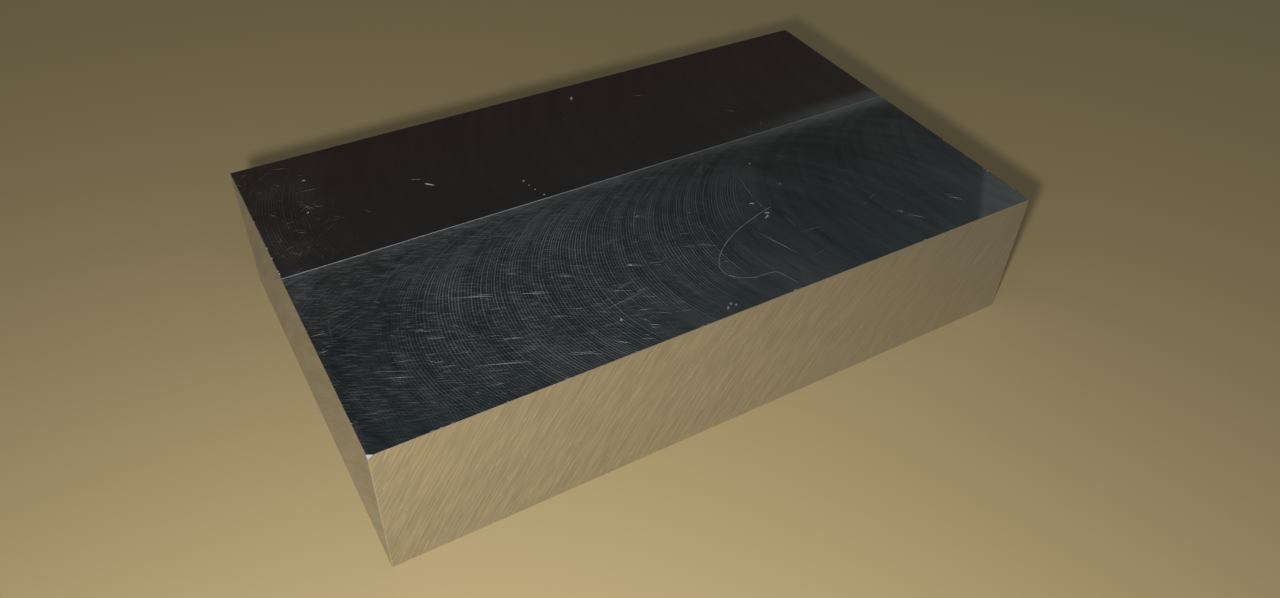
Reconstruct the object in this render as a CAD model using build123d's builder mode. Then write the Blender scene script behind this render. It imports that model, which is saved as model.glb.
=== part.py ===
"""A short length of aluminium flat bar, sawn off, squared up and face-milled.

It is one solid piece of metal. It lies on its broad face, with +X along its length,
+Y across its width and +Z up. The origin is the middle of its underside.
All lengths are in millimetres.
"""

import os

from build123d import *

# The squared-up bar
bar_length = 120.0
bar_width = 72.0
bar_thickness = 25.0

# Every sharp edge is broken with a file
edge_break = 0.15

# The top is milled in two passes along the length. The front pass is cut a little deeper,
# so its inner edge shows as a fine step.
front_pass_width = 39.8
pass_step = 0.05

# The front left top corner is knocked flat, measured from the sharp corner along each edge
corner_flat_length = 1.0
corner_flat_width = 0.5
corner_flat_depth = 0.55

# Cuts run past the faces that they open by this much
overrun = 2.0

# Places that follow from the sizes
half_length = bar_length / 2
half_width = bar_width / 2
cut_length = bar_length + 2 * overrun
cut_width = front_pass_width + overrun
cut_middle = front_pass_width - half_width - cut_width / 2
sharp_corner = Vector(-half_length, -half_width, bar_thickness)
corner_normal = Vector(-1 / corner_flat_length, -1 / corner_flat_width, 1 / corner_flat_depth)
flat_corner = Plane(origin=sharp_corner + Vector(corner_flat_length, 0, 0), z_dir=corner_normal)

with BuildPart() as flat_bar:
    # The bar's section, drawn out along its length
    with BuildSketch(Plane.YZ) as section:
        Rectangle(bar_width, bar_thickness, align=(Align.CENTER, Align.MIN))
    extrude(amount=half_length, both=True)
    chamfer(flat_bar.edges(), length=edge_break)

    # The deeper front pass of the cutter
    with BuildSketch(Plane.XY.offset(bar_thickness)) as front_pass:
        with Locations((0, cut_middle)):
            Rectangle(cut_length, cut_width)
    extrude(amount=-pass_step, mode=Mode.SUBTRACT)

    # The knocked corner
    split(bisect_by=flat_corner, keep=Keep.BOTTOM)

flat_bar.part.label = "flat_bar"

os.makedirs("parts", exist_ok=True)
export_step(flat_bar.part, "parts/flat_bar.step")
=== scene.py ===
"""A sawn and milled length of aluminium flat bar, lying on its broad face.

Lengths are in metres in the bar's own frame: +X along the bar, +Y to the back, +Z up, with the
origin under the middle of the bar. Patterns on the metal are worked out in millimetres.
"""

import math
import random

import bmesh
import bpy
from mathutils import Euler, Matrix, Vector


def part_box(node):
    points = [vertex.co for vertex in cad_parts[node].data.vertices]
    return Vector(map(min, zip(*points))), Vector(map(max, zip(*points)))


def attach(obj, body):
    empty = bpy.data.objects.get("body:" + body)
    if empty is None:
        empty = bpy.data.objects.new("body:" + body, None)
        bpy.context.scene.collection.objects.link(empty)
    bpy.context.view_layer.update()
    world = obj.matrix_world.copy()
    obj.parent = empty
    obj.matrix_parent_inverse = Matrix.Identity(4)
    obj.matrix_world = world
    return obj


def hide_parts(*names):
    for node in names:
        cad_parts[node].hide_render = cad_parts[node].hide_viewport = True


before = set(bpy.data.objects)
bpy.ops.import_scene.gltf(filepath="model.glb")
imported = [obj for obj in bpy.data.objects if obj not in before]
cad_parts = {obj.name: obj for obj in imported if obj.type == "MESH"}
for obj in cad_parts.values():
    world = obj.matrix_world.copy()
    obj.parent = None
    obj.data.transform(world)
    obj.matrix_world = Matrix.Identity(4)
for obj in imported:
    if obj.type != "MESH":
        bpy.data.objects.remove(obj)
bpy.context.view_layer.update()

# The sawn block
# One length of solid aluminium flat bar, sawn off and milled square on all six faces.
# Its sharp edges are broken with a file, and one top corner was knocked flat.
mm = 0.001
low, high = (Vector(corner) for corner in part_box("flat_bar"))
bar_size = high - low
bar_middle = (low + high) / 2
edge_break = 0.15 * mm
edge_rounds = 2
corner_flat_length = 1.0 * mm
corner_flat_width = 0.5 * mm
corner_flat_depth = 0.55 * mm
sharp_corner = Vector((low.x, low.y, high.z))
corner_slope = Vector((-1 / corner_flat_length, -1 / corner_flat_width, 1 / corner_flat_depth))

block = bmesh.new()
block_place = Matrix.Translation(bar_middle) @ Matrix.Diagonal(bar_size).to_4x4()
bmesh.ops.create_cube(block, size=1, matrix=block_place)
bmesh.ops.bevel(
    block,
    geom=block.edges[:],
    offset=edge_break,
    affect="EDGES",
    segments=edge_rounds,
    profile=0.5,
    material=-1,
)
corner_cut = bmesh.ops.bisect_plane(
    block,
    geom=block.verts[:] + block.edges[:] + block.faces[:],
    plane_co=sharp_corner + Vector((corner_flat_length, 0, 0)),
    plane_no=corner_slope,
    clear_outer=True,
)
corner_rim = [part for part in corner_cut["geom_cut"] if isinstance(part, bmesh.types.BMEdge)]
bmesh.ops.edgeloop_fill(block, edges=corner_rim)
bmesh.ops.recalc_face_normals(block, faces=block.faces[:])

bar = bpy.data.objects.new("milled_flat_bar", bpy.data.meshes.new("milled_flat_bar"))
block.to_mesh(bar.data)
block.free()
bpy.context.scene.collection.objects.link(bar)

# The front pass of the mill
# The top was faced in two passes along the bar. The front one is cut a little deeper,
# and the edge of the cutter left a fine slanting step between the two.
front_pass_width = 39.8 * mm
pass_step = 0.05 * mm
step_run = 0.042 * mm
overrun = 2 * mm
seam = low.y + front_pass_width


def cut_away(shape):
    """Takes a closed bmesh shape out of the bar, and frees it."""
    cutter = bpy.data.objects.new("cutter", bpy.data.meshes.new("cutter"))
    shape.to_mesh(cutter.data)
    shape.free()
    bpy.context.scene.collection.objects.link(cutter)
    taking = bar.modifiers.new("cut", "BOOLEAN")
    taking.operation = "DIFFERENCE"
    taking.solver = "EXACT"
    taking.use_self = True
    taking.object = cutter
    graph = bpy.context.evaluated_depsgraph_get()
    cut_mesh = bpy.data.meshes.new_from_object(bar.evaluated_get(graph))
    bar.modifiers.clear()
    bar.data = cut_mesh
    bpy.data.objects.remove(cutter)


front_pass = bmesh.new()
pass_size = Vector((bar_size.x + 2 * overrun, front_pass_width + overrun, overrun))
pass_middle = Vector((0, seam - pass_size.y / 2, high.z - pass_step + overrun / 2))
pass_place = Matrix.Translation(pass_middle) @ Matrix.Diagonal(pass_size).to_4x4()
bmesh.ops.create_cube(front_pass, size=1, matrix=pass_place)
pass_back = [corner for corner in front_pass.verts if corner.co.y > pass_middle.y]
pass_top_back = [corner for corner in pass_back if corner.co.z > high.z]
bmesh.ops.translate(front_pass, verts=pass_top_back, vec=Vector((0, step_run * overrun / pass_step, 0)))
cut_away(front_pass)

# Knocks and scratches
# The soft metal is marked all over from handling. The marks are shallow V-shaped grooves and
# dents, cut into the faces and along the edges. Places are in millimetres in the bar's frame.
scratch_depth_share = 0.45
long_scratch_depth_share = 0.6
dent_depth_share = 0.38
front_dent_depth_share = 0.08
long_scratches = [
    # middle x, middle y, length, lean in degrees, width
    (-35.6, -13.9, 6.4, -25, 0.09),
    (-37.6, -29.0, 8.4, -22, 0.15),
    (-20.6, -33.2, 2.6, -38, 0.12),
    (-34.4, -24.8, 3.8, -24, 0.09),
    (-10.8, -18.7, 1.9, -33, 0.11),
    (-28.4, -11.6, 1.7, -20, 0.08),
    (-21.1, -16.1, 2.7, -27, 0.08),
    (-14.3, -28.6, 2.5, -19, 0.08),
    (-14.6, -32.2, 2.0, -35, 0.10),
    (-26.3, -32.7, 5.2, -32, 0.10),
    (38.9, -30.1, 3.6, -50, 0.09),
    (37.2, -27.8, 1.4, -52, 0.08),
    (48.6, -29.3, 3.2, -45, 0.08),
    (13.5, -25.4, 8.4, -71, 0.11),
    (17.7, -9.4, 8.0, 78, 0.08),
    (16.9, -15.0, 3.9, 88, 0.07),
    (-3.6, -8.0, 1.5, -40, 0.08),
    (-44.0, -19.6, 3.2, -21, 0.08),
    (-51.6, -24.5, 4.4, -23, 0.07),
    (-27.3, -17.4, 4.6, -26, 0.08),
    (-15.1, -25.3, 10.8, 7, 0.07),
    (-32.6, 19.5, 2.8, -35, 0.07),
    (-58.7, -10.9, 2.4, -7, 0.11),
    (-59.1, -14.7, 1.5, 0, 0.11),
]
scratch_bundles = [
    # first end x, first end y, last end x, last end y, how many lines, gap between them
    (-58.8, -9.0, -48.5, -6.9, 3, 0.75),
    (-57.7, -13.6, -49.6, -10.2, 4, 0.70),
    (-19.2, -23.6, -8.5, -21.3, 2, 0.30),
    (28.9, -25.3, 38.9, -20.7, 1, 0.0),
    (14.8, -30.9, 23.6, -29.1, 1, 0.0),
    (17.7, -24.4, 25.3, -25.0, 1, 0.0),
]
top_dents = [
    # middle x, middle y, length, lean in degrees, width
    (-30.8, 16.8, 1.9, -44, 0.42),
    (4.3, 31.2, 1.3, 60, 0.45),
    (-49.5, 27.9, 0.6, 0, 0.35),
    (-51.5, 18.5, 0.5, 30, 0.30),
    (-16.0, 10.2, 0.6, 20, 0.30),
    (-15.7, 8.6, 0.4, 70, 0.25),
    (-15.3, 7.0, 0.4, 40, 0.22),
    (-14.6, 4.9, 0.5, 10, 0.30),
    (-18.5, -29.0, 0.7, 60, 0.40),
    (-10.9, -18.5, 0.6, 0, 0.35),
    (22.5, -3.8, 0.6, 40, 0.20),
    (23.6, -11.5, 0.5, 20, 0.18),
    (15.9, -18.3, 1.3, 30, 0.40),
    (16.6, -17.4, 0.9, -30, 0.30),
    (15.8, -14.0, 1.0, -25, 0.28),
    (-2.9, -34.4, 0.8, 55, 0.40),
    (-2.0, -33.8, 0.7, 65, 0.35),
    (-1.4, -34.3, 0.5, 40, 0.30),
]
front_dents = [
    # middle x, middle z, length, lean in degrees, width
    (-33.5, 14.2, 1.0, 10, 0.50),
    (-31.5, 17.5, 0.6, 70, 0.30),
    (13.8, 21.2, 0.7, 40, 0.45),
    (26.2, 11.3, 0.8, 60, 0.45),
    (36.2, 19.5, 0.6, 20, 0.45),
]
to_front = Matrix.Rotation(math.radians(90), 4, "X")


def groove(shape, middle, long, lean, wide, deep, face_turn=Matrix(), sides=4, rings=2):
    """Adds a pointed slug that takes a groove, or with more sides a round dent, out of a face."""
    turn = face_turn @ Matrix.Rotation(math.radians(lean), 4, "Z")
    place = Matrix.Translation(middle) @ turn @ Matrix.Diagonal((long / 2, wide / 2, deep, 1))
    bmesh.ops.create_uvsphere(shape, u_segments=sides, v_segments=rings, radius=1, matrix=place)


def dent(shape, middle, long, lean, wide, depth_share=dent_depth_share, face_turn=Matrix()):
    """Adds a rounded slug that takes a shallow dent out of a face."""
    groove(shape, middle, long, lean, wide, wide * depth_share, face_turn, sides=8, rings=4)


def top_point(x, y):
    """The point on the milled top at x and y, in millimetres."""
    return Vector((x * mm, y * mm, high.z - pass_step * (y * mm < seam)))


marks = bmesh.new()
mark_draw = random.Random(11)

# Whatever made a long scratch mostly left a fainter line or two beside it. The gaps are in
# millimetres, and the slips, widths and lengths are shares of the scratch's own.
companion_counts = (0, 1, 1, 2)
companion_gaps = (0.25, 0.6)
companion_slips = (-0.3, 0.3)
companion_widths = (0.4, 0.7)
companion_lengths = (0.3, 0.7)
for x, y, long, lean, wide in long_scratches:
    groove(marks, top_point(x, y), long * mm, lean, wide * mm, wide * long_scratch_depth_share * mm)
    for companion in range(mark_draw.choice(companion_counts)):
        aside = mark_draw.choice((-1, 1)) * mark_draw.uniform(*companion_gaps)
        slip = mark_draw.uniform(*companion_slips) * long
        bearing = math.radians(lean)
        beside_x = x + slip * math.cos(bearing) - aside * math.sin(bearing)
        beside_y = y + slip * math.sin(bearing) + aside * math.cos(bearing)
        thin = wide * mark_draw.uniform(*companion_widths)
        short = long * mark_draw.uniform(*companion_lengths)
        beside = top_point(beside_x, beside_y)
        groove(marks, beside, short * mm, lean, thin * mm, thin * scratch_depth_share * mm)

# The lines of a bundle lie side by side, each somewhere along its run
bundle_width = 0.03
bundle_depth = bundle_width * scratch_depth_share
bundle_middles = (0.35, 0.65)
bundle_lengths = (0.5, 0.9)
for first_x, first_y, last_x, last_y, count, gap in scratch_bundles:
    bundle_run = Vector((last_x - first_x, last_y - first_y))
    side_step = bundle_run.orthogonal().normalized() * gap
    for line_number in range(count):
        line_middle = Vector((first_x, first_y)) + bundle_run * mark_draw.uniform(*bundle_middles)
        line_middle = line_middle + side_step * line_number
        long = bundle_run.length * mark_draw.uniform(*bundle_lengths)
        lean = math.degrees(math.atan2(bundle_run.y, bundle_run.x))
        groove(marks, top_point(*line_middle), long * mm, lean, bundle_width * mm, bundle_depth * mm)

fine_scratches = [
    # least x, most x, least y, most y, how many, lean in degrees, spread of the lean
    (-57, -12, -34.5, -10, 40, -25, 9),
    (-12, 12, -34, -8, 10, -28, 14),
    (-57, 12, -34, 1, 14, 20, 90),
    (-58, -42, 6, 34, 10, -30, 30),
    (-40, 57, 6, 34, 4, 30, 90),
]
fine_lengths = (0.8, 4.2)
fine_widths = (0.035, 0.06)
for least_x, most_x, least_y, most_y, count, lean, spread in fine_scratches:
    for scratch in range(count):
        scratch_middle = top_point(mark_draw.uniform(least_x, most_x), mark_draw.uniform(least_y, most_y))
        long = mark_draw.uniform(*fine_lengths) * mm
        wide = mark_draw.uniform(*fine_widths) * mm
        scratch_lean = lean + mark_draw.uniform(-spread, spread)
        groove(marks, scratch_middle, long, scratch_lean, wide, wide * scratch_depth_share)

for x, y, long, lean, wide in top_dents:
    dent(marks, top_point(x, y), long * mm, lean, wide * mm)
for x, z, long, lean, wide in front_dents:
    dent_middle = Vector((x * mm, low.y, z * mm))
    dent(marks, dent_middle, long * mm, lean, wide * mm, front_dent_depth_share, to_front)

# A few marks on the faces that are turned away. Every third is a dent, which is shorter and wider.
turned_marks = 9
turned_lengths = (0.5, 3.0)
turned_leans = (-90, 90)
turned_widths = (0.08, 0.16)
dent_every = 3
dent_shortness = 3
dent_width_share = 2
turned_faces = [
    # middle of the face, half its width along and across, the turn that brings the top to it
    (Vector((0, high.y, bar_middle.z)), 56, 10, Matrix.Rotation(math.radians(-90), 4, "X")),
    (Vector((low.x, 0, bar_middle.z)), 10, 32, Matrix.Rotation(math.radians(-90), 4, "Y")),
    (Vector((high.x, 0, bar_middle.z)), 10, 32, Matrix.Rotation(math.radians(90), 4, "Y")),
    (Vector((0, 0, low.z)), 56, 32, Matrix.Rotation(math.radians(180), 4, "X")),
]
for face_middle, half_along, half_across, face_turn in turned_faces:
    for mark in range(turned_marks):
        mark_along = mark_draw.uniform(-half_along, half_along) * mm
        mark_across = mark_draw.uniform(-half_across, half_across) * mm
        mark_middle = face_middle + face_turn.to_3x3() @ Vector((mark_along, mark_across, 0))
        long = mark_draw.uniform(*turned_lengths) * mm
        lean = mark_draw.uniform(*turned_leans)
        wide = mark_draw.uniform(*turned_widths) * mm
        if mark % dent_every == 0:
            long /= dent_shortness
            wide *= dent_width_share
            dent(marks, mark_middle, long, lean, wide, dent_depth_share, face_turn)
        else:
            groove(marks, mark_middle, long, lean, wide, wide * scratch_depth_share, face_turn)

# One long scratch runs in a hook round the front of the top
hook_points = [
    # x, y
    (18.1, -16.3),
    (13.6, -17.4),
    (7.6, -19.7),
    (2.9, -23.0),
    (0.4, -27.2),
    (4.2, -30.6),
    (8.8, -30.5),
    (9.4, -32.2),
    (10.2, -34.6),
]
hook_width = 0.11 * mm
hook_depth_share = 0.6
hook_curve = bpy.data.curves.new("hook_scratch", "CURVE")
hook_curve.dimensions = "3D"
hook_curve.bevel_depth = hook_width / 2
hook_curve.bevel_resolution = 0
hook_curve.use_fill_caps = True
hook_curve.resolution_u = 8
hook_line = hook_curve.splines.new("NURBS")
hook_line.points.add(len(hook_points) - 1)
for point, (x, y) in zip(hook_line.points, hook_points):
    point.co = (*top_point(x, y), 1)
hook_line.use_endpoint_u = True
hook_line.order_u = 3
hook = bpy.data.objects.new("hook_scratch", hook_curve)
hook_mesh = bpy.data.meshes.new_from_object(hook)
hook_cutter = bmesh.new()
hook_cutter.from_mesh(hook_mesh)
bmesh.ops.recalc_face_normals(hook_cutter, faces=hook_cutter.faces[:])
bmesh.ops.scale(
    hook_cutter,
    vec=(1, 1, hook_depth_share),
    space=Matrix.Translation(-top_point(*hook_points[0])),
    verts=hook_cutter.verts[:],
)
bpy.data.objects.remove(hook)
bpy.data.curves.remove(hook_curve)

# Small nicks along the edges, where the bar was set down or knocked. The places are shares of
# the edge, and the lengths and radii are in millimetres.
nick_draw = random.Random(7)
nick_places = (0.03, 0.97)
nick_lengths = (0.3, 0.9)
nick_radii = (0.10, 0.16)
nick_set_in = 0.12 * mm
nicked_edges = [
    # start corner, end corner, how many
    ((low.x, low.y, high.z), (high.x, low.y, high.z), 10),
    ((low.x, low.y, high.z), (low.x, high.y, high.z), 6),
    ((low.x, high.y, high.z), (high.x, high.y, high.z), 9),
    ((high.x, low.y, high.z), (high.x, high.y, high.z), 6),
    ((low.x, low.y, low.z), (low.x, low.y, high.z), 3),
    ((low.x, low.y, low.z), (high.x, low.y, low.z), 7),
    ((low.x, low.y, low.z), (low.x, high.y, low.z), 5),
    ((low.x, high.y, low.z), (high.x, high.y, low.z), 7),
    ((high.x, low.y, low.z), (high.x, high.y, low.z), 5),
    ((high.x, low.y, low.z), (high.x, low.y, high.z), 3),
    ((high.x, high.y, low.z), (high.x, high.y, high.z), 3),
    ((low.x, high.y, low.z), (low.x, high.y, high.z), 3),
]
for start, end, count in nicked_edges:
    start, end = Vector(start), Vector(end)
    inward = (bar_middle - (start + end) / 2).normalized()
    edge_turn = (end - start).to_track_quat("X", "Z").to_matrix().to_4x4()
    for nick in range(count):
        nick_middle = start.lerp(end, nick_draw.uniform(*nick_places)) + inward * nick_set_in
        nick_length = nick_draw.uniform(*nick_lengths) * mm
        nick_radius = nick_draw.uniform(*nick_radii) * mm
        nick_size = Matrix.Diagonal((nick_length / 2, nick_radius, nick_radius, 1))
        nick_place = Matrix.Translation(nick_middle) @ edge_turn @ nick_size
        bmesh.ops.create_uvsphere(marks, u_segments=6, v_segments=4, radius=1, matrix=nick_place)
cut_away(marks)
cut_away(hook_cutter)

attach(bar, "root")
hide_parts("flat_bar")

# Each face takes the finish of the cut that made it
finishes = [
    "front_pass",
    "rear_pass",
    "mill_step",
    "long_sides",
    "sawn_ends",
    "underside",
    "filed_edges",
    "scraped_metal",
]
flat_share = 0.999
least_side_face = mm * mm
corner_facing = corner_slope.normalized()
bar.data.materials.clear()
for name in finishes:
    bar.data.materials.append(bpy.data.materials.new(name))
for face in bar.data.polygons:
    facing = face.normal
    centre = face.center
    to_sides = [*(centre - low), *(high - centre)]
    sides_near = sum(off_side < 2 * edge_break for off_side in to_sides)
    by_front = centre.y - low.y < edge_break
    at_corner = facing.dot(corner_facing) > flat_share
    on_step = abs(centre.y - seam) < step_run and abs(facing.x) < 1 - flat_share
    if facing.z > flat_share and centre.z > high.z - 2 * pass_step:
        finish = "front_pass" if centre.y < seam else "rear_pass"
    elif facing.z < -flat_share:
        finish = "underside"
    elif abs(facing.y) > flat_share and face.area > least_side_face:
        finish = "long_sides"
    elif abs(facing.x) > flat_share and face.area > least_side_face:
        finish = "sawn_ends"
    elif on_step and sides_near < 2:
        finish = "mill_step"
    elif sides_near >= 2 or at_corner:
        finish = "filed_edges"
    elif by_front:
        finish = "long_sides"
    else:
        finish = "scraped_metal"
    face.material_index = finishes.index(finish)

# Cutter marks
# Each tooth of the mill leaves an arc, and the arcs step along the face as the bar feeds past.
# The group draws them for any face, from the cutter's radius and the height of its centre line.


def feed(tree, socket, value):
    """Sets an input to a value, or links it to another node's output."""
    if isinstance(value, bpy.types.NodeSocket):
        tree.links.new(value, socket)
    else:
        socket.default_value = value


def add_node(tree, kind, settings=None, **feeds):
    """Adds a node with its settings, and feeds its inputs by name, with _ for a space."""
    made = tree.nodes.new("ShaderNode" + kind)
    for name, value in (settings or {}).items():
        setattr(made, name, value)
    for name, value in feeds.items():
        feed(tree, made.inputs[name.replace("_", " ")], value)
    return made


def maths(tree, operation, *values):
    """Adds a Math node and gives its result."""
    made = add_node(tree, "Math", {"operation": operation})
    for socket, value in zip(made.inputs, values):
        feed(tree, socket, value)
    return made.outputs["Value"]


def vectors(tree, operation, *values):
    """Adds a Vector Math node on two vectors and gives its result."""
    made = add_node(tree, "VectorMath", {"operation": operation})
    for socket, value in zip(made.inputs, values):
        feed(tree, socket, value)
    return made.outputs["Vector"]


def ease(tree, value, start, end):
    """Gives 0 before start and 1 after end, with a soft step between them."""
    soft = {"interpolation_type": "SMOOTHSTEP"}
    return add_node(tree, "MapRange", soft, Value=value, From_Min=start, From_Max=end).outputs["Result"]


def noise(tree, place, detail, rough, distortion=0.0):
    """Gives flat noise with about one blotch to a unit."""
    flat = {"noise_dimensions": "2D"}
    made = add_node(
        tree,
        "TexNoise",
        flat,
        Vector=place,
        Scale=1.0,
        Detail=detail,
        Roughness=rough,
        Distortion=distortion,
    )
    return made.outputs[0]


def at_least(tree, mask, least):
    """Lifts a mask of 0 to 1 so that it runs from least to 1."""
    return maths(tree, "MULTIPLY_ADD", mask, 1 - least, least)


def new_group(name, inputs, outputs):
    """Starts a shader node group, and gives its tree, its inputs and its outputs."""
    group = bpy.data.node_groups.new(name, "ShaderNodeTree")
    for socket_name, kind in inputs.items():
        group.interface.new_socket(socket_name, in_out="INPUT", socket_type="NodeSocket" + kind)
    for socket_name in outputs:
        group.interface.new_socket(socket_name, in_out="OUTPUT", socket_type="NodeSocketFloat")
    return group, group.nodes.new("NodeGroupInput").outputs, group.nodes.new("NodeGroupOutput").inputs


cutter_marks, given, gives = new_group(
    "cutter_marks",
    {
        "Place": "Vector",
        "Radius": "Float",
        "Centre": "Float",
        "Spacing": "Float",
        "Reach": "Float",
        "Detail": "Float",
    },
    ["Lines", "Streaks", "Bands", "Graze"],
)
steepest = 0.9999
axes = add_node(cutter_marks, "SeparateXYZ", Vector=given["Place"])
rise = maths(cutter_marks, "SUBTRACT", axes.outputs["Y"], given["Centre"])
rise = maths(cutter_marks, "DIVIDE", rise, given["Radius"])
rise = maths(cutter_marks, "MAXIMUM", maths(cutter_marks, "MINIMUM", rise, steepest), -steepest)
angle = maths(cutter_marks, "ARCSINE", rise)
reach_back = maths(cutter_marks, "MULTIPLY", maths(cutter_marks, "COSINE", angle), given["Radius"])
feed_place = maths(cutter_marks, "ADD", axes.outputs["X"], reach_back)
arc_place = maths(cutter_marks, "MULTIPLY", angle, given["Radius"])
across_arcs = maths(cutter_marks, "DIVIDE", feed_place, given["Spacing"])
along_arcs = maths(cutter_marks, "DIVIDE", arc_place, given["Reach"])
stroke = add_node(cutter_marks, "CombineXYZ", X=across_arcs, Y=along_arcs).outputs["Vector"]

# The spacing of the lines wanders a little, each tooth bites to its own depth, and the lines
# break off. Each pair of edges is where a soft step has none and all of its mark.
half_step = 0.5
wander_stretch = (0.12, 1.0, 1)
wander_lines = 1.5
least_bite = 0.4
break_stretch = (0.5, 3.0, 1)
break_edges = (0.18, 0.38)
line_edges = (0.27, 0.08)
swathe_stretch = (0.18, 0.6, 1)
streak_edges = (0.34, 0.68)
graze_edges = (0.88, 1.0)
wander_at = vectors(cutter_marks, "MULTIPLY", stroke, wander_stretch)
wander = noise(cutter_marks, wander_at, detail=1.0, rough=0.5)
line_place = maths(cutter_marks, "MULTIPLY_ADD", wander, wander_lines, across_arcs)
tooth = maths(cutter_marks, "ROUND", line_place)
bite = add_node(cutter_marks, "TexWhiteNoise", {"noise_dimensions": "1D"}, W=tooth).outputs["Value"]
breaks_at = vectors(cutter_marks, "MULTIPLY", stroke, break_stretch)
breaks = noise(cutter_marks, breaks_at, detail=2.0, rough=0.6)
lines = ease(cutter_marks, maths(cutter_marks, "PINGPONG", line_place, half_step), *line_edges)
lines = maths(cutter_marks, "MULTIPLY", lines, at_least(cutter_marks, bite, least_bite))
lines = maths(cutter_marks, "MULTIPLY", lines, ease(cutter_marks, breaks, *break_edges))
grain = noise(cutter_marks, stroke, detail=given["Detail"], rough=0.62)
swathe_at = vectors(cutter_marks, "MULTIPLY", stroke, swathe_stretch)
swathe = noise(cutter_marks, swathe_at, detail=3.0, rough=0.6)
feed(cutter_marks, gives["Lines"], lines)
feed(cutter_marks, gives["Streaks"], ease(cutter_marks, grain, *streak_edges))
feed(cutter_marks, gives["Bands"], ease(cutter_marks, swathe, *streak_edges))
feed(cutter_marks, gives["Graze"], ease(cutter_marks, rise, *graze_edges))

# Hairlines
# Short fine scratches from handling, one in each cell of a scattered grid, leaning mostly one way.


def scaled(tree, vector, scale):
    """Multiplies a vector by a number, and gives the result."""
    made = add_node(tree, "VectorMath", {"operation": "SCALE"}, Vector=vector, Scale=scale)
    return made.outputs["Vector"]


hairlines, given, gives = new_group(
    "hairlines",
    {"Place": "Vector", "Cell": "Float", "Lean": "Float", "Spread": "Float", "Width": "Float"},
    ["Lines"],
)
mean_chance = 0.5
most_bow = 0.3
longest_half = 0.42
width_edges = (1.0, 0.3)
end_edges = (1.0, 0.5)
cell_share = maths(hairlines, "DIVIDE", 1.0, given["Cell"])
cells_at = scaled(hairlines, given["Place"], cell_share)
nearest_cell = {"voronoi_dimensions": "2D", "feature": "F1"}
cells = add_node(hairlines, "TexVoronoi", nearest_cell, Vector=cells_at, Scale=1.0).outputs
chance = add_node(hairlines, "SeparateColor", Color=cells["Color"]).outputs
swing = maths(hairlines, "SUBTRACT", mean_chance, chance["Red"])
swing = maths(hairlines, "MULTIPLY", swing, given["Spread"])
turned = add_node(
    hairlines,
    "VectorRotate",
    {"rotation_type": "Z_AXIS"},
    Vector=vectors(hairlines, "SUBTRACT", cells_at, cells["Position"]),
    Angle=maths(hairlines, "SUBTRACT", swing, given["Lean"]),
)
line_at = add_node(hairlines, "SeparateXYZ", Vector=turned.outputs["Vector"]).outputs
bow = maths(hairlines, "MULTIPLY", maths(hairlines, "SUBTRACT", chance["Blue"], mean_chance), most_bow)
bend = maths(hairlines, "MULTIPLY", maths(hairlines, "POWER", line_at["X"], 2.0), bow)
off_line = maths(hairlines, "ABSOLUTE", maths(hairlines, "ADD", line_at["Y"], bend))
off_line = maths(hairlines, "MULTIPLY", off_line, given["Cell"])
line = ease(hairlines, maths(hairlines, "DIVIDE", off_line, given["Width"]), *width_edges)
half_long = maths(hairlines, "MULTIPLY", chance["Green"], longest_half)
end_at = maths(hairlines, "DIVIDE", maths(hairlines, "ABSOLUTE", line_at["X"]), half_long)
line = maths(hairlines, "MULTIPLY", line, ease(hairlines, end_at, *end_edges))
strong = maths(hairlines, "POWER", chance["Blue"], 2.0)
feed(hairlines, gives["Lines"], maths(hairlines, "MULTIPLY", line, strong))

# Handling haze
# Faint cloudy patches of rubbed metal, oil and finger marks.
cloud_edges = (0.32, 0.70)
haze, given, gives = new_group("haze", {"Place": "Vector", "Patch": "Float"}, ["Cloud"])
patch_share = maths(haze, "DIVIDE", 1.0, given["Patch"])
clouds_at = scaled(haze, given["Place"], patch_share)
clouds = noise(haze, clouds_at, detail=4.0, rough=0.55, distortion=0.4)
feed(haze, gives["Cloud"], ease(haze, clouds, *cloud_edges))


def face_place(tree, along, across, flip=1):
    """Gives the place on a face in millimetres, from the bar's axes along and across it."""
    in_metres = add_node(tree, "TexCoord").outputs["Object"]
    bar_axes = add_node(tree, "SeparateXYZ", Vector=scaled(tree, in_metres, 1 / mm)).outputs
    first = maths(tree, "MULTIPLY", bar_axes[along], flip)
    return add_node(tree, "CombineXYZ", X=first, Y=bar_axes[across]).outputs["Vector"]


def pattern(tree, group, **values):
    """Places a node group in a material, and gives its outputs."""
    return add_node(tree, "Group", {"node_tree": group}, **values).outputs


def metal_shader(name):
    """Gives the node tree and shader of one of the bar's finishes, as bare metal."""
    finish = bpy.data.materials[name]
    finish.use_nodes = True
    shader = finish.node_tree.nodes["Principled BSDF"]
    shader.inputs["Metallic"].default_value = 1
    return finish.node_tree, shader


def add_up(tree, start, *shares):
    """Adds (value, share) pairs to a starting value."""
    total = start
    for value, share in shares:
        total = maths(tree, "MULTIPLY_ADD", value, share, total)
    return total


def between(tree, value, dark, light):
    """Blends between two colours, each written out or taken from another node."""
    blend = add_node(tree, "Mix", {"data_type": "RGBA"}, Factor=value)
    colour_sockets = [socket for socket in blend.inputs if socket.type == "RGBA"]
    for socket, colour in zip(colour_sockets, (dark, light)):
        feed(tree, socket, colour if isinstance(colour, bpy.types.NodeSocket) else (*colour, 1))
    return next(socket for socket in blend.outputs if socket.type == "RGBA")


def relief(tree, height, depth):
    """Gives the normal of a surface with a height of 0 to 1 and the given depth in millimetres."""
    return add_node(tree, "Bump", Strength=1.0, Distance=depth * mm, Height=height).outputs["Normal"]


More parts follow.
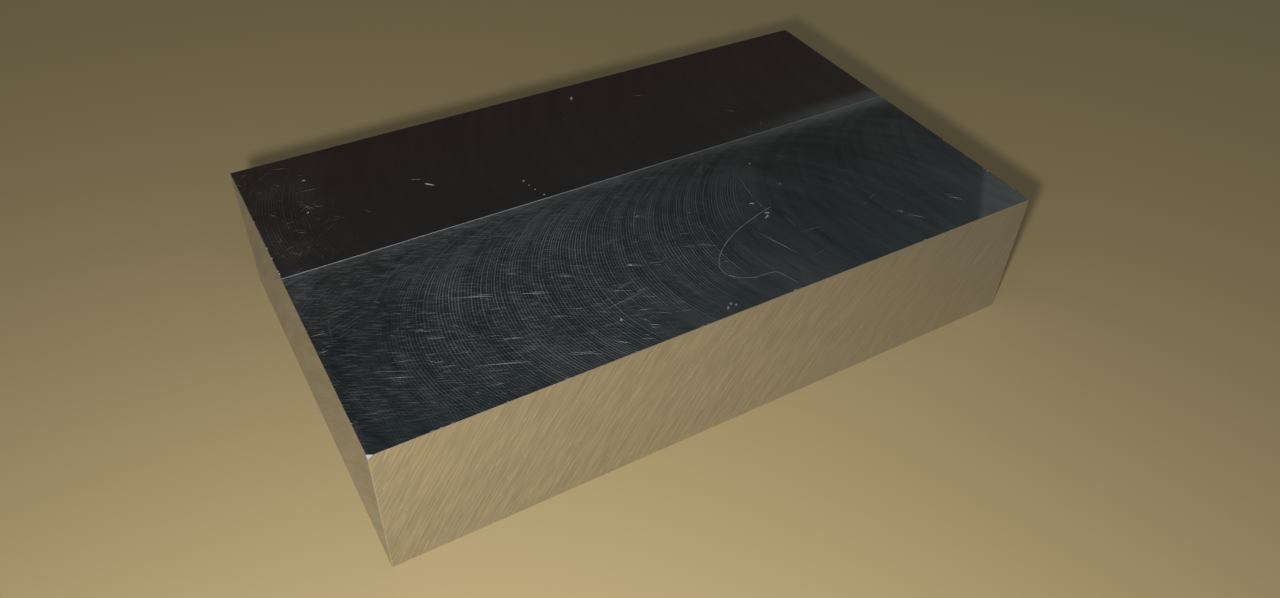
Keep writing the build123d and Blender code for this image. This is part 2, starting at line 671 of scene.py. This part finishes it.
# The front pass's finish
# The cutter ran along the seam. It left fine arcs over bright metal, crossed by the fainter arcs
# of its trailing side. The left half is rubbed and scratched the most, short of the front edge.
cutter_radius = 27.0
cutter_line = seam / mm - cutter_radius
trailing_radius = 38.0
trailing_line = -34.0
arc_spacing = 0.5
hair_width = 0.06
short_hair_width = 0.07
hair_lean = math.radians(-25)
short_hair_lean = math.radians(-26)
cross_hair_lean = math.radians(40)
stray_hair_lean = math.radians(30)
front_rough = 0.292
front_relief = 0.006
front_dark = (0.415, 0.452, 0.458)
front_light = (0.605, 0.622, 0.613)
front_marked = (0.74, 0.78, 0.79)
tree, shader = metal_shader("front_pass")
place = face_place(tree, "X", "Y")
back_place = face_place(tree, "X", "Y", -1)
arcs = pattern(
    tree,
    cutter_marks,
    Place=place,
    Radius=cutter_radius,
    Centre=cutter_line,
    Spacing=arc_spacing,
    Reach=20.0,
    Detail=2.0,
)
back_arcs = pattern(
    tree,
    cutter_marks,
    Place=back_place,
    Radius=trailing_radius,
    Centre=trailing_line,
    Spacing=arc_spacing,
    Reach=12.0,
    Detail=1.0,
)
hairs = pattern(tree, hairlines, Place=place, Cell=4.0, Lean=hair_lean, Spread=0.35, Width=hair_width)
short_hairs = pattern(
    tree, hairlines, Place=place, Cell=1.7, Lean=short_hair_lean, Spread=0.5, Width=short_hair_width
)
cross_hairs = pattern(
    tree, hairlines, Place=place, Cell=3.4, Lean=cross_hair_lean, Spread=0.8, Width=hair_width
)
stray_hairs = pattern(
    tree, hairlines, Place=place, Cell=9.0, Lean=stray_hair_lean, Spread=5.0, Width=hair_width
)
cloud = pattern(tree, haze, Place=place, Patch=14.0)["Cloud"]
film = pattern(tree, haze, Place=place, Patch=24.0)["Cloud"]

# Dense short rubbing marks lie between the hairlines. They are nearly straight, so they are drawn
# as pieces of arcs from a very large circle.
rub_radius = 2000.0
rub_line = 1796.0
rub_spacing = 0.5
rub_length = 3.0
rub_sharpness = 4.0
rubs = pattern(
    tree,
    cutter_marks,
    Place=place,
    Radius=rub_radius,
    Centre=rub_line,
    Spacing=rub_spacing,
    Reach=rub_length,
    Detail=2.0,
)
rub_lines = maths(tree, "POWER", rubs["Streaks"], rub_sharpness)

# Each pair of millimetres along X or Y is where a soft step starts and where it is full
wear_x = (20.0, -32.0)
wear_y = (-37.0, -29.0)
arcs_right_x = (38.0, -6.0)
arcs_left_x = (-58.0, -36.0)
arcs_seam_y = (-14.0, -2.0)
front_haze_x = (0.0, 48.0)
front_haze_y = (-1.5, 4.0)
spot = add_node(tree, "SeparateXYZ", Vector=place).outputs
off_front = at_least(tree, ease(tree, spot["Y"], *wear_y), 0.3)
wear = maths(tree, "MULTIPLY", ease(tree, spot["X"], *wear_x), off_front)
from_right = ease(tree, spot["X"], *arcs_right_x)
from_left = ease(tree, spot["X"], *arcs_left_x)
from_left = maths(tree, "MAXIMUM", from_left, ease(tree, spot["Y"], *arcs_seam_y))
shown = maths(tree, "MULTIPLY", from_left, at_least(tree, from_right, 0.1))
right_haze_x = ease(tree, spot["X"], *front_haze_x)
right_haze = maths(tree, "MULTIPLY", right_haze_x, ease(tree, spot["Y"], *front_haze_y))

# The right front corner was wiped with something rough, up to a slanting line
wiped_line = 82.0
wiped_slope = -1.09
wiped_edges = (4.3, 6.3)
past_line = add_up(tree, -wiped_line, (spot["X"], 1.0), (spot["Y"], wiped_slope))
wiped = ease(tree, past_line, *wiped_edges)

strokes = maths(tree, "MULTIPLY", arcs["Lines"], at_least(tree, cloud, 0.5))
strokes = maths(tree, "MULTIPLY", strokes, shown)
back_strokes = maths(tree, "MULTIPLY", back_arcs["Lines"], back_arcs["Bands"])
all_hairs = add_up(
    tree, hairs["Lines"], (short_hairs["Lines"], 0.9), (cross_hairs["Lines"], 0.5), (rub_lines, 0.4)
)
worn_hairs = maths(tree, "MULTIPLY", all_hairs, at_least(tree, wear, 0.15))
fine_marks = add_up(
    tree, 0.0, (strokes, 1.0), (back_strokes, 0.3), (worn_hairs, 1.2), (stray_hairs["Lines"], 0.7)
)
fine_marks = maths(tree, "MINIMUM", fine_marks, 1.0)
rough = add_up(
    tree,
    front_rough,
    (fine_marks, 0.33),
    (arcs["Graze"], 0.075),
    (arcs["Streaks"], 0.006),
    (arcs["Bands"], 0.006),
    (cloud, 0.01),
    (wear, 0.01),
    (right_haze, 0.13),
    (wiped, 0.16),
)
feed(tree, shader.inputs["Roughness"], rough)

# The bands of the cutter show most in the tone of the left half
middle_tone = 0.375
band_middle = 0.5
band_strength = add_up(tree, 0.4, (from_right, 0.35))
band_tone = maths(tree, "SUBTRACT", arcs["Bands"], band_middle)
band_tone = maths(tree, "MULTIPLY", band_tone, band_strength)
tone = add_up(tree, middle_tone, (band_tone, 1.0), (film, 0.25))
bare_metal = between(tree, tone, front_dark, front_light)
feed(tree, shader.inputs["Base Color"], between(tree, fine_marks, bare_metal, front_marked))
height = add_up(tree, 0.0, (arcs["Streaks"], 1.0), (fine_marks, -1.0))
feed(tree, shader.inputs["Normal"], relief(tree, height, front_relief))

# The rear pass's finish
# The rear pass was cut finer, so it is darker and smoother, with faint arcs. Its left end is scuffed.
rear_radius = 36.0
rear_line = 14.0
rear_hair_width = 0.07
rear_hair_lean = math.radians(-30)
rear_cross_lean = math.radians(35)
scuff_x = (-40.0, -59.0)
rear_haze_x = (15.0, 55.0)
rear_haze_y = (9.0, 4.0)
rear_rough = 0.286
rear_relief = 0.004
rear_dark = (0.555, 0.543, 0.53)
rear_light = (0.605, 0.592, 0.575)
rear_marked = (0.74, 0.74, 0.74)
tree, shader = metal_shader("rear_pass")
place = face_place(tree, "X", "Y")
arcs = pattern(
    tree,
    cutter_marks,
    Place=place,
    Radius=rear_radius,
    Centre=rear_line,
    Spacing=arc_spacing,
    Reach=16.0,
    Detail=2.0,
)
hairs = pattern(
    tree, hairlines, Place=place, Cell=3.0, Lean=rear_hair_lean, Spread=0.9, Width=rear_hair_width
)
cross_hairs = pattern(
    tree, hairlines, Place=place, Cell=2.2, Lean=rear_cross_lean, Spread=1.6, Width=rear_hair_width
)
cloud = pattern(tree, haze, Place=place, Patch=30.0)["Cloud"]
mottle = pattern(tree, haze, Place=place, Patch=6.0)["Cloud"]
spot = add_node(tree, "SeparateXYZ", Vector=place).outputs
scuff = ease(tree, spot["X"], *scuff_x)
scuffed_mottle = maths(tree, "MULTIPLY", mottle, scuff)
right_haze_x = ease(tree, spot["X"], *rear_haze_x)
right_haze = maths(tree, "MULTIPLY", right_haze_x, ease(tree, spot["Y"], *rear_haze_y))
strokes = maths(tree, "MULTIPLY", arcs["Lines"], add_up(tree, 0.13, (scuff, 0.2)))
all_hairs = add_up(tree, hairs["Lines"], (cross_hairs["Lines"], 0.8))
worn_hairs = maths(tree, "MULTIPLY", all_hairs, add_up(tree, 0.1, (scuff, 2.0)))
fine_marks = maths(tree, "MINIMUM", maths(tree, "ADD", strokes, worn_hairs), 1.0)
rough = add_up(
    tree,
    rear_rough,
    (fine_marks, 0.30),
    (arcs["Streaks"], 0.008),
    (cloud, 0.015),
    (scuffed_mottle, 0.07),
    (right_haze, 0.17),
)
feed(tree, shader.inputs["Roughness"], rough)
bare_metal = between(tree, arcs["Bands"], rear_dark, rear_light)
feed(tree, shader.inputs["Base Color"], between(tree, fine_marks, bare_metal, rear_marked))
feed(tree, shader.inputs["Normal"], relief(tree, arcs["Streaks"], rear_relief))

# The mill's step
# The slope between the two passes was torn by the side of the cutter, more at the left than the right,
# which makes it rougher there. Its colour runs from dark at the right to near white at the left:
# a painted highlight along the step.
tear_and_highlight_x = (30.0, -40.0)
step_rough = 0.34
step_plain = (0.42, 0.44, 0.46)
step_highlight = (0.94, 0.95, 0.96)
tree, shader = metal_shader("mill_step")
place = face_place(tree, "X", "Y")
spot = add_node(tree, "SeparateXYZ", Vector=place).outputs
tear_and_highlight = ease(tree, spot["X"], *tear_and_highlight_x)
cloud = pattern(tree, haze, Place=place, Patch=3.0)["Cloud"]
feed(tree, shader.inputs["Roughness"], add_up(tree, step_rough, (tear_and_highlight, 0.26), (cloud, 0.06)))
# Painted highlight: the step's colour runs from dark at the right to near white at the left
feed(tree, shader.inputs["Base Color"], between(tree, tear_and_highlight, step_plain, step_highlight))

# The long sides' finish
# The front and back faces carry slanting marks from a large cutter, in lighter and darker streaks.
# The lighter streaks are tinted warm, a painted reflection of the floor. Short bright glints lie
# along the marks as painted highlights in the colour, and everything is fainter towards the right end.
side_radius = 600.0
side_line = -305.5
side_spacing = 0.38
painted_glint_lean = math.radians(58)
painted_glint_width = 0.12
fainter_x = (-5.0, 45.0)
side_rough = 0.36
side_relief = 0.005
side_dark = (0.60, 0.595, 0.62)
side_light_and_warm_reflection = (0.88, 0.87, 0.82)
tree, shader = metal_shader("long_sides")
place = face_place(tree, "X", "Z")
arcs = pattern(
    tree,
    cutter_marks,
    Place=place,
    Radius=side_radius,
    Centre=side_line,
    Spacing=side_spacing,
    Reach=7.0,
    Detail=2.0,
)
painted_glints = pattern(tree, hairlines, Place=place, Cell=2.7, Lean=painted_glint_lean, Spread=0.08, Width=painted_glint_width)
cloud = pattern(tree, haze, Place=place, Patch=18.0)["Cloud"]
spot = add_node(tree, "SeparateXYZ", Vector=place).outputs
strength = add_up(tree, 1.0, (ease(tree, spot["X"], *fainter_x), -0.5))
# The glints are painted highlights, and the light streak colour's warm tint is a painted reflection
streaks = add_up(tree, 0.0, (arcs["Streaks"], 0.55), (arcs["Bands"], 0.15), (painted_glints["Lines"], 1.3))
streaks = maths(tree, "MULTIPLY", streaks, strength)
feed(tree, shader.inputs["Roughness"], add_up(tree, side_rough, (streaks, 0.08), (cloud, 0.04)))
feed(tree, shader.inputs["Base Color"], between(tree, streaks, side_dark, side_light_and_warm_reflection))
feed(tree, shader.inputs["Normal"], relief(tree, arcs["Streaks"], side_relief))

# The ends' finish
# The two ends were milled the same way, with broad flatter marks over fine ones.
end_radius = 300.0
end_line = -203.0
broad_spacing = 3.0
fine_spacing = 0.45
end_rough = 0.38
end_relief = 0.004
end_dark = (0.53, 0.53, 0.53)
end_light = (0.72, 0.72, 0.72)
tree, shader = metal_shader("sawn_ends")
place = face_place(tree, "Y", "Z", -1)
broad_arcs = pattern(
    tree,
    cutter_marks,
    Place=place,
    Radius=end_radius,
    Centre=end_line,
    Spacing=broad_spacing,
    Reach=26.0,
    Detail=1.0,
)
fine_arcs = pattern(
    tree,
    cutter_marks,
    Place=place,
    Radius=end_radius,
    Centre=end_line,
    Spacing=fine_spacing,
    Reach=14.0,
    Detail=2.0,
)
cloud = pattern(tree, haze, Place=place, Patch=14.0)["Cloud"]
streaks = add_up(
    tree, 0.0, (broad_arcs["Streaks"], 0.4), (broad_arcs["Bands"], 0.3), (fine_arcs["Streaks"], 0.3)
)
feed(tree, shader.inputs["Roughness"], add_up(tree, end_rough, (streaks, 0.06), (cloud, 0.04)))
feed(tree, shader.inputs["Base Color"], between(tree, streaks, end_dark, end_light))
feed(tree, shader.inputs["Normal"], relief(tree, streaks, end_relief))

# The underside's finish
# The face that the bar lies on has one wide pass of a large cutter.
under_radius = 60.0
under_line = 0.0
under_spacing = 0.7
under_rough = 0.33
under_relief = 0.004
under_dark = (0.68, 0.68, 0.68)
under_light = (0.84, 0.84, 0.84)
tree, shader = metal_shader("underside")
place = face_place(tree, "X", "Y")
arcs = pattern(
    tree,
    cutter_marks,
    Place=place,
    Radius=under_radius,
    Centre=under_line,
    Spacing=under_spacing,
    Reach=26.0,
    Detail=2.0,
)
strokes = maths(tree, "MULTIPLY", arcs["Lines"], at_least(tree, arcs["Bands"], 0.4))
rough = add_up(tree, under_rough, (strokes, 0.12), (arcs["Streaks"], 0.03))
feed(tree, shader.inputs["Roughness"], rough)
feed(tree, shader.inputs["Base Color"], between(tree, strokes, under_dark, under_light))
feed(tree, shader.inputs["Normal"], relief(tree, arcs["Streaks"], under_relief))

# Filed edges
# The broken edges and the knocked corner are smooth bright metal.
edge_rough = 0.32
edge_dark = (0.82, 0.82, 0.82)
edge_light = (0.90, 0.90, 0.90)
tree, shader = metal_shader("filed_edges")
place = face_place(tree, "X", "Y")
cloud = pattern(tree, haze, Place=place, Patch=1.5)["Cloud"]
feed(tree, shader.inputs["Roughness"], add_up(tree, edge_rough, (cloud, 0.06)))
feed(tree, shader.inputs["Base Color"], between(tree, cloud, edge_dark, edge_light))

# Scraped metal
# Scratches and dents show bare metal, roughened by what scraped it.
scraped_rough = 0.58
scraped_dark = (0.80, 0.81, 0.82)
scraped_light = (0.90, 0.91, 0.92)
tree, shader = metal_shader("scraped_metal")
place = face_place(tree, "X", "Y")
cloud = pattern(tree, haze, Place=place, Patch=1.2)["Cloud"]
feed(tree, shader.inputs["Roughness"], add_up(tree, scraped_rough, (cloud, 0.12)))
feed(tree, shader.inputs["Base Color"], between(tree, cloud, scraped_dark, scraped_light))

# The floor
# A plain pale warm floor that the bar lies on.
floor_radius = 4.0
floor_sides = 96
floor_colour = (0.43, 0.33, 0.168, 1)
floor_rough = 0.7
floor_gloss = 0.2

disc = bmesh.new()
bmesh.ops.create_circle(disc, cap_ends=True, radius=floor_radius, segments=floor_sides)
floor = bpy.data.objects.new("floor", bpy.data.meshes.new("floor"))
disc.to_mesh(floor.data)
disc.free()
bpy.context.scene.collection.objects.link(floor)
floor_finish = bpy.data.materials.new("pale_floor")
floor_finish.use_nodes = True
floor_shader = floor_finish.node_tree.nodes["Principled BSDF"]
floor_shader.inputs["Base Color"].default_value = floor_colour
floor_shader.inputs["Roughness"].default_value = floor_rough
floor_shader.inputs["Specular IOR Level"].default_value = floor_gloss
floor.data.materials.append(floor_finish)

# The light
# A small round lamp beside the camera lights the floor round the bar. The metal shows the room:
# a pale wall behind the camera, dim grey at the sides, and a dark card mirrored in the top.
lamp_place = Vector((-92, -127, 118)) * mm
lamp_radius = 5 * mm
lamp_watts = 1.03
lamp_light = bpy.data.lights.new("floor_lamp", "POINT")
lamp_light.shadow_soft_size = lamp_radius
lamp_light.energy = lamp_watts
lamp = bpy.data.objects.new("floor_lamp", lamp_light)
lamp.location = lamp_place
lamp.visible_glossy = False
lamp.visible_camera = False
bpy.context.scene.collection.objects.link(lamp)

# Heights in the room run from 0 at the horizon to 1 overhead
horizon = (0.093, 0.081, 0.050, 1)
grey = (0.122, 0.142, 0.147, 1)
overhead = (0.23, 0.235, 0.24, 1)
pale = (0.84, 0.85, 0.86, 1)
warm_dark = (0.0245, 0.0085, 0.0035, 1)
cool_dark = (0.0050, 0.0170, 0.0215, 1)
side_steps = {0.00: horizon, 0.05: horizon, 0.20: grey, 0.85: grey, 1.00: overhead}
wall_steps = {0.00: horizon, 0.05: horizon, 0.28: pale, 0.44: pale, 0.88: grey, 1.00: overhead}
card_steps = {
    0.00: horizon,
    0.05: horizon,
    0.22: warm_dark,
    0.61: warm_dark,
    0.69: cool_dark,
    0.92: cool_dark,
    1.00: overhead,
}
# The card leans, so its heights shift by this much for each radian round the room
card_lean = 0.166
# Angles round the room run from straight behind the bar towards its right end
wall_middle = math.radians(-149)
wall_core = math.radians(25)
wall_reach = math.radians(85)
card_middle = math.radians(15)
card_core = math.radians(43)
card_reach = math.radians(45)

world = bpy.data.worlds.new("studio")
bpy.context.scene.world = world
world.use_nodes = True
sky = world.node_tree
sky_direction = add_node(sky, "TexCoord").outputs["Generated"]
sky_axes = add_node(sky, "SeparateXYZ", Vector=sky_direction).outputs
round_room = maths(sky, "ARCTAN2", sky_axes["X"], sky_axes["Y"])


def sky_ramp(steps, height=sky_axes["Z"]):
    """Gives the colours of one part of the room from the horizon to straight up."""
    colours = add_node(sky, "ValToRGB", Fac=height)
    ramp = colours.color_ramp
    while len(ramp.elements) < len(steps):
        ramp.elements.new(0.5)
    for element, (step_height, colour) in zip(ramp.elements, steps.items()):
        element.position = step_height
        element.color = colour
    return colours.outputs["Color"]


def near_angle(middle, reach, core):
    """Gives 1 within the core angle of a middle, and 0 past its reach."""
    off = maths(sky, "WRAP", maths(sky, "SUBTRACT", round_room, middle), math.pi, -math.pi)
    return ease(sky, maths(sky, "ABSOLUTE", off), reach, core)


card_height = maths(sky, "MULTIPLY_ADD", round_room, card_lean, sky_axes["Z"])
card = sky_ramp(card_steps, card_height)
room = between(sky, near_angle(card_middle, card_reach, card_core), sky_ramp(side_steps), card)
room = between(sky, near_angle(wall_middle, wall_reach, wall_core), room, sky_ramp(wall_steps))
feed(sky, sky.nodes["Background"].inputs["Color"], room)

# The camera
# It stands where the photograph was taken from, a hand's breadth from the bar and looking down.
camera_place = Vector((-74.15, -123.28, 126.56)) * mm
camera_turn = Euler((math.radians(48.352), math.radians(-1.829), math.radians(-30.310)))
image_width = 1280
focal_length = 1000.95
sensor_width = 36
lens = bpy.data.cameras.new("photo_camera")
lens.sensor_width = sensor_width
lens.lens = sensor_width * focal_length / image_width
lens.clip_start = 0.005
lens.clip_end = 50
camera = bpy.data.objects.new("photo_camera", lens)
camera.location = camera_place
camera.rotation_euler = camera_turn
bpy.context.scene.collection.objects.link(camera)
bpy.context.scene.camera = camera
bpy.context.scene.view_settings.view_transform = "Standard"
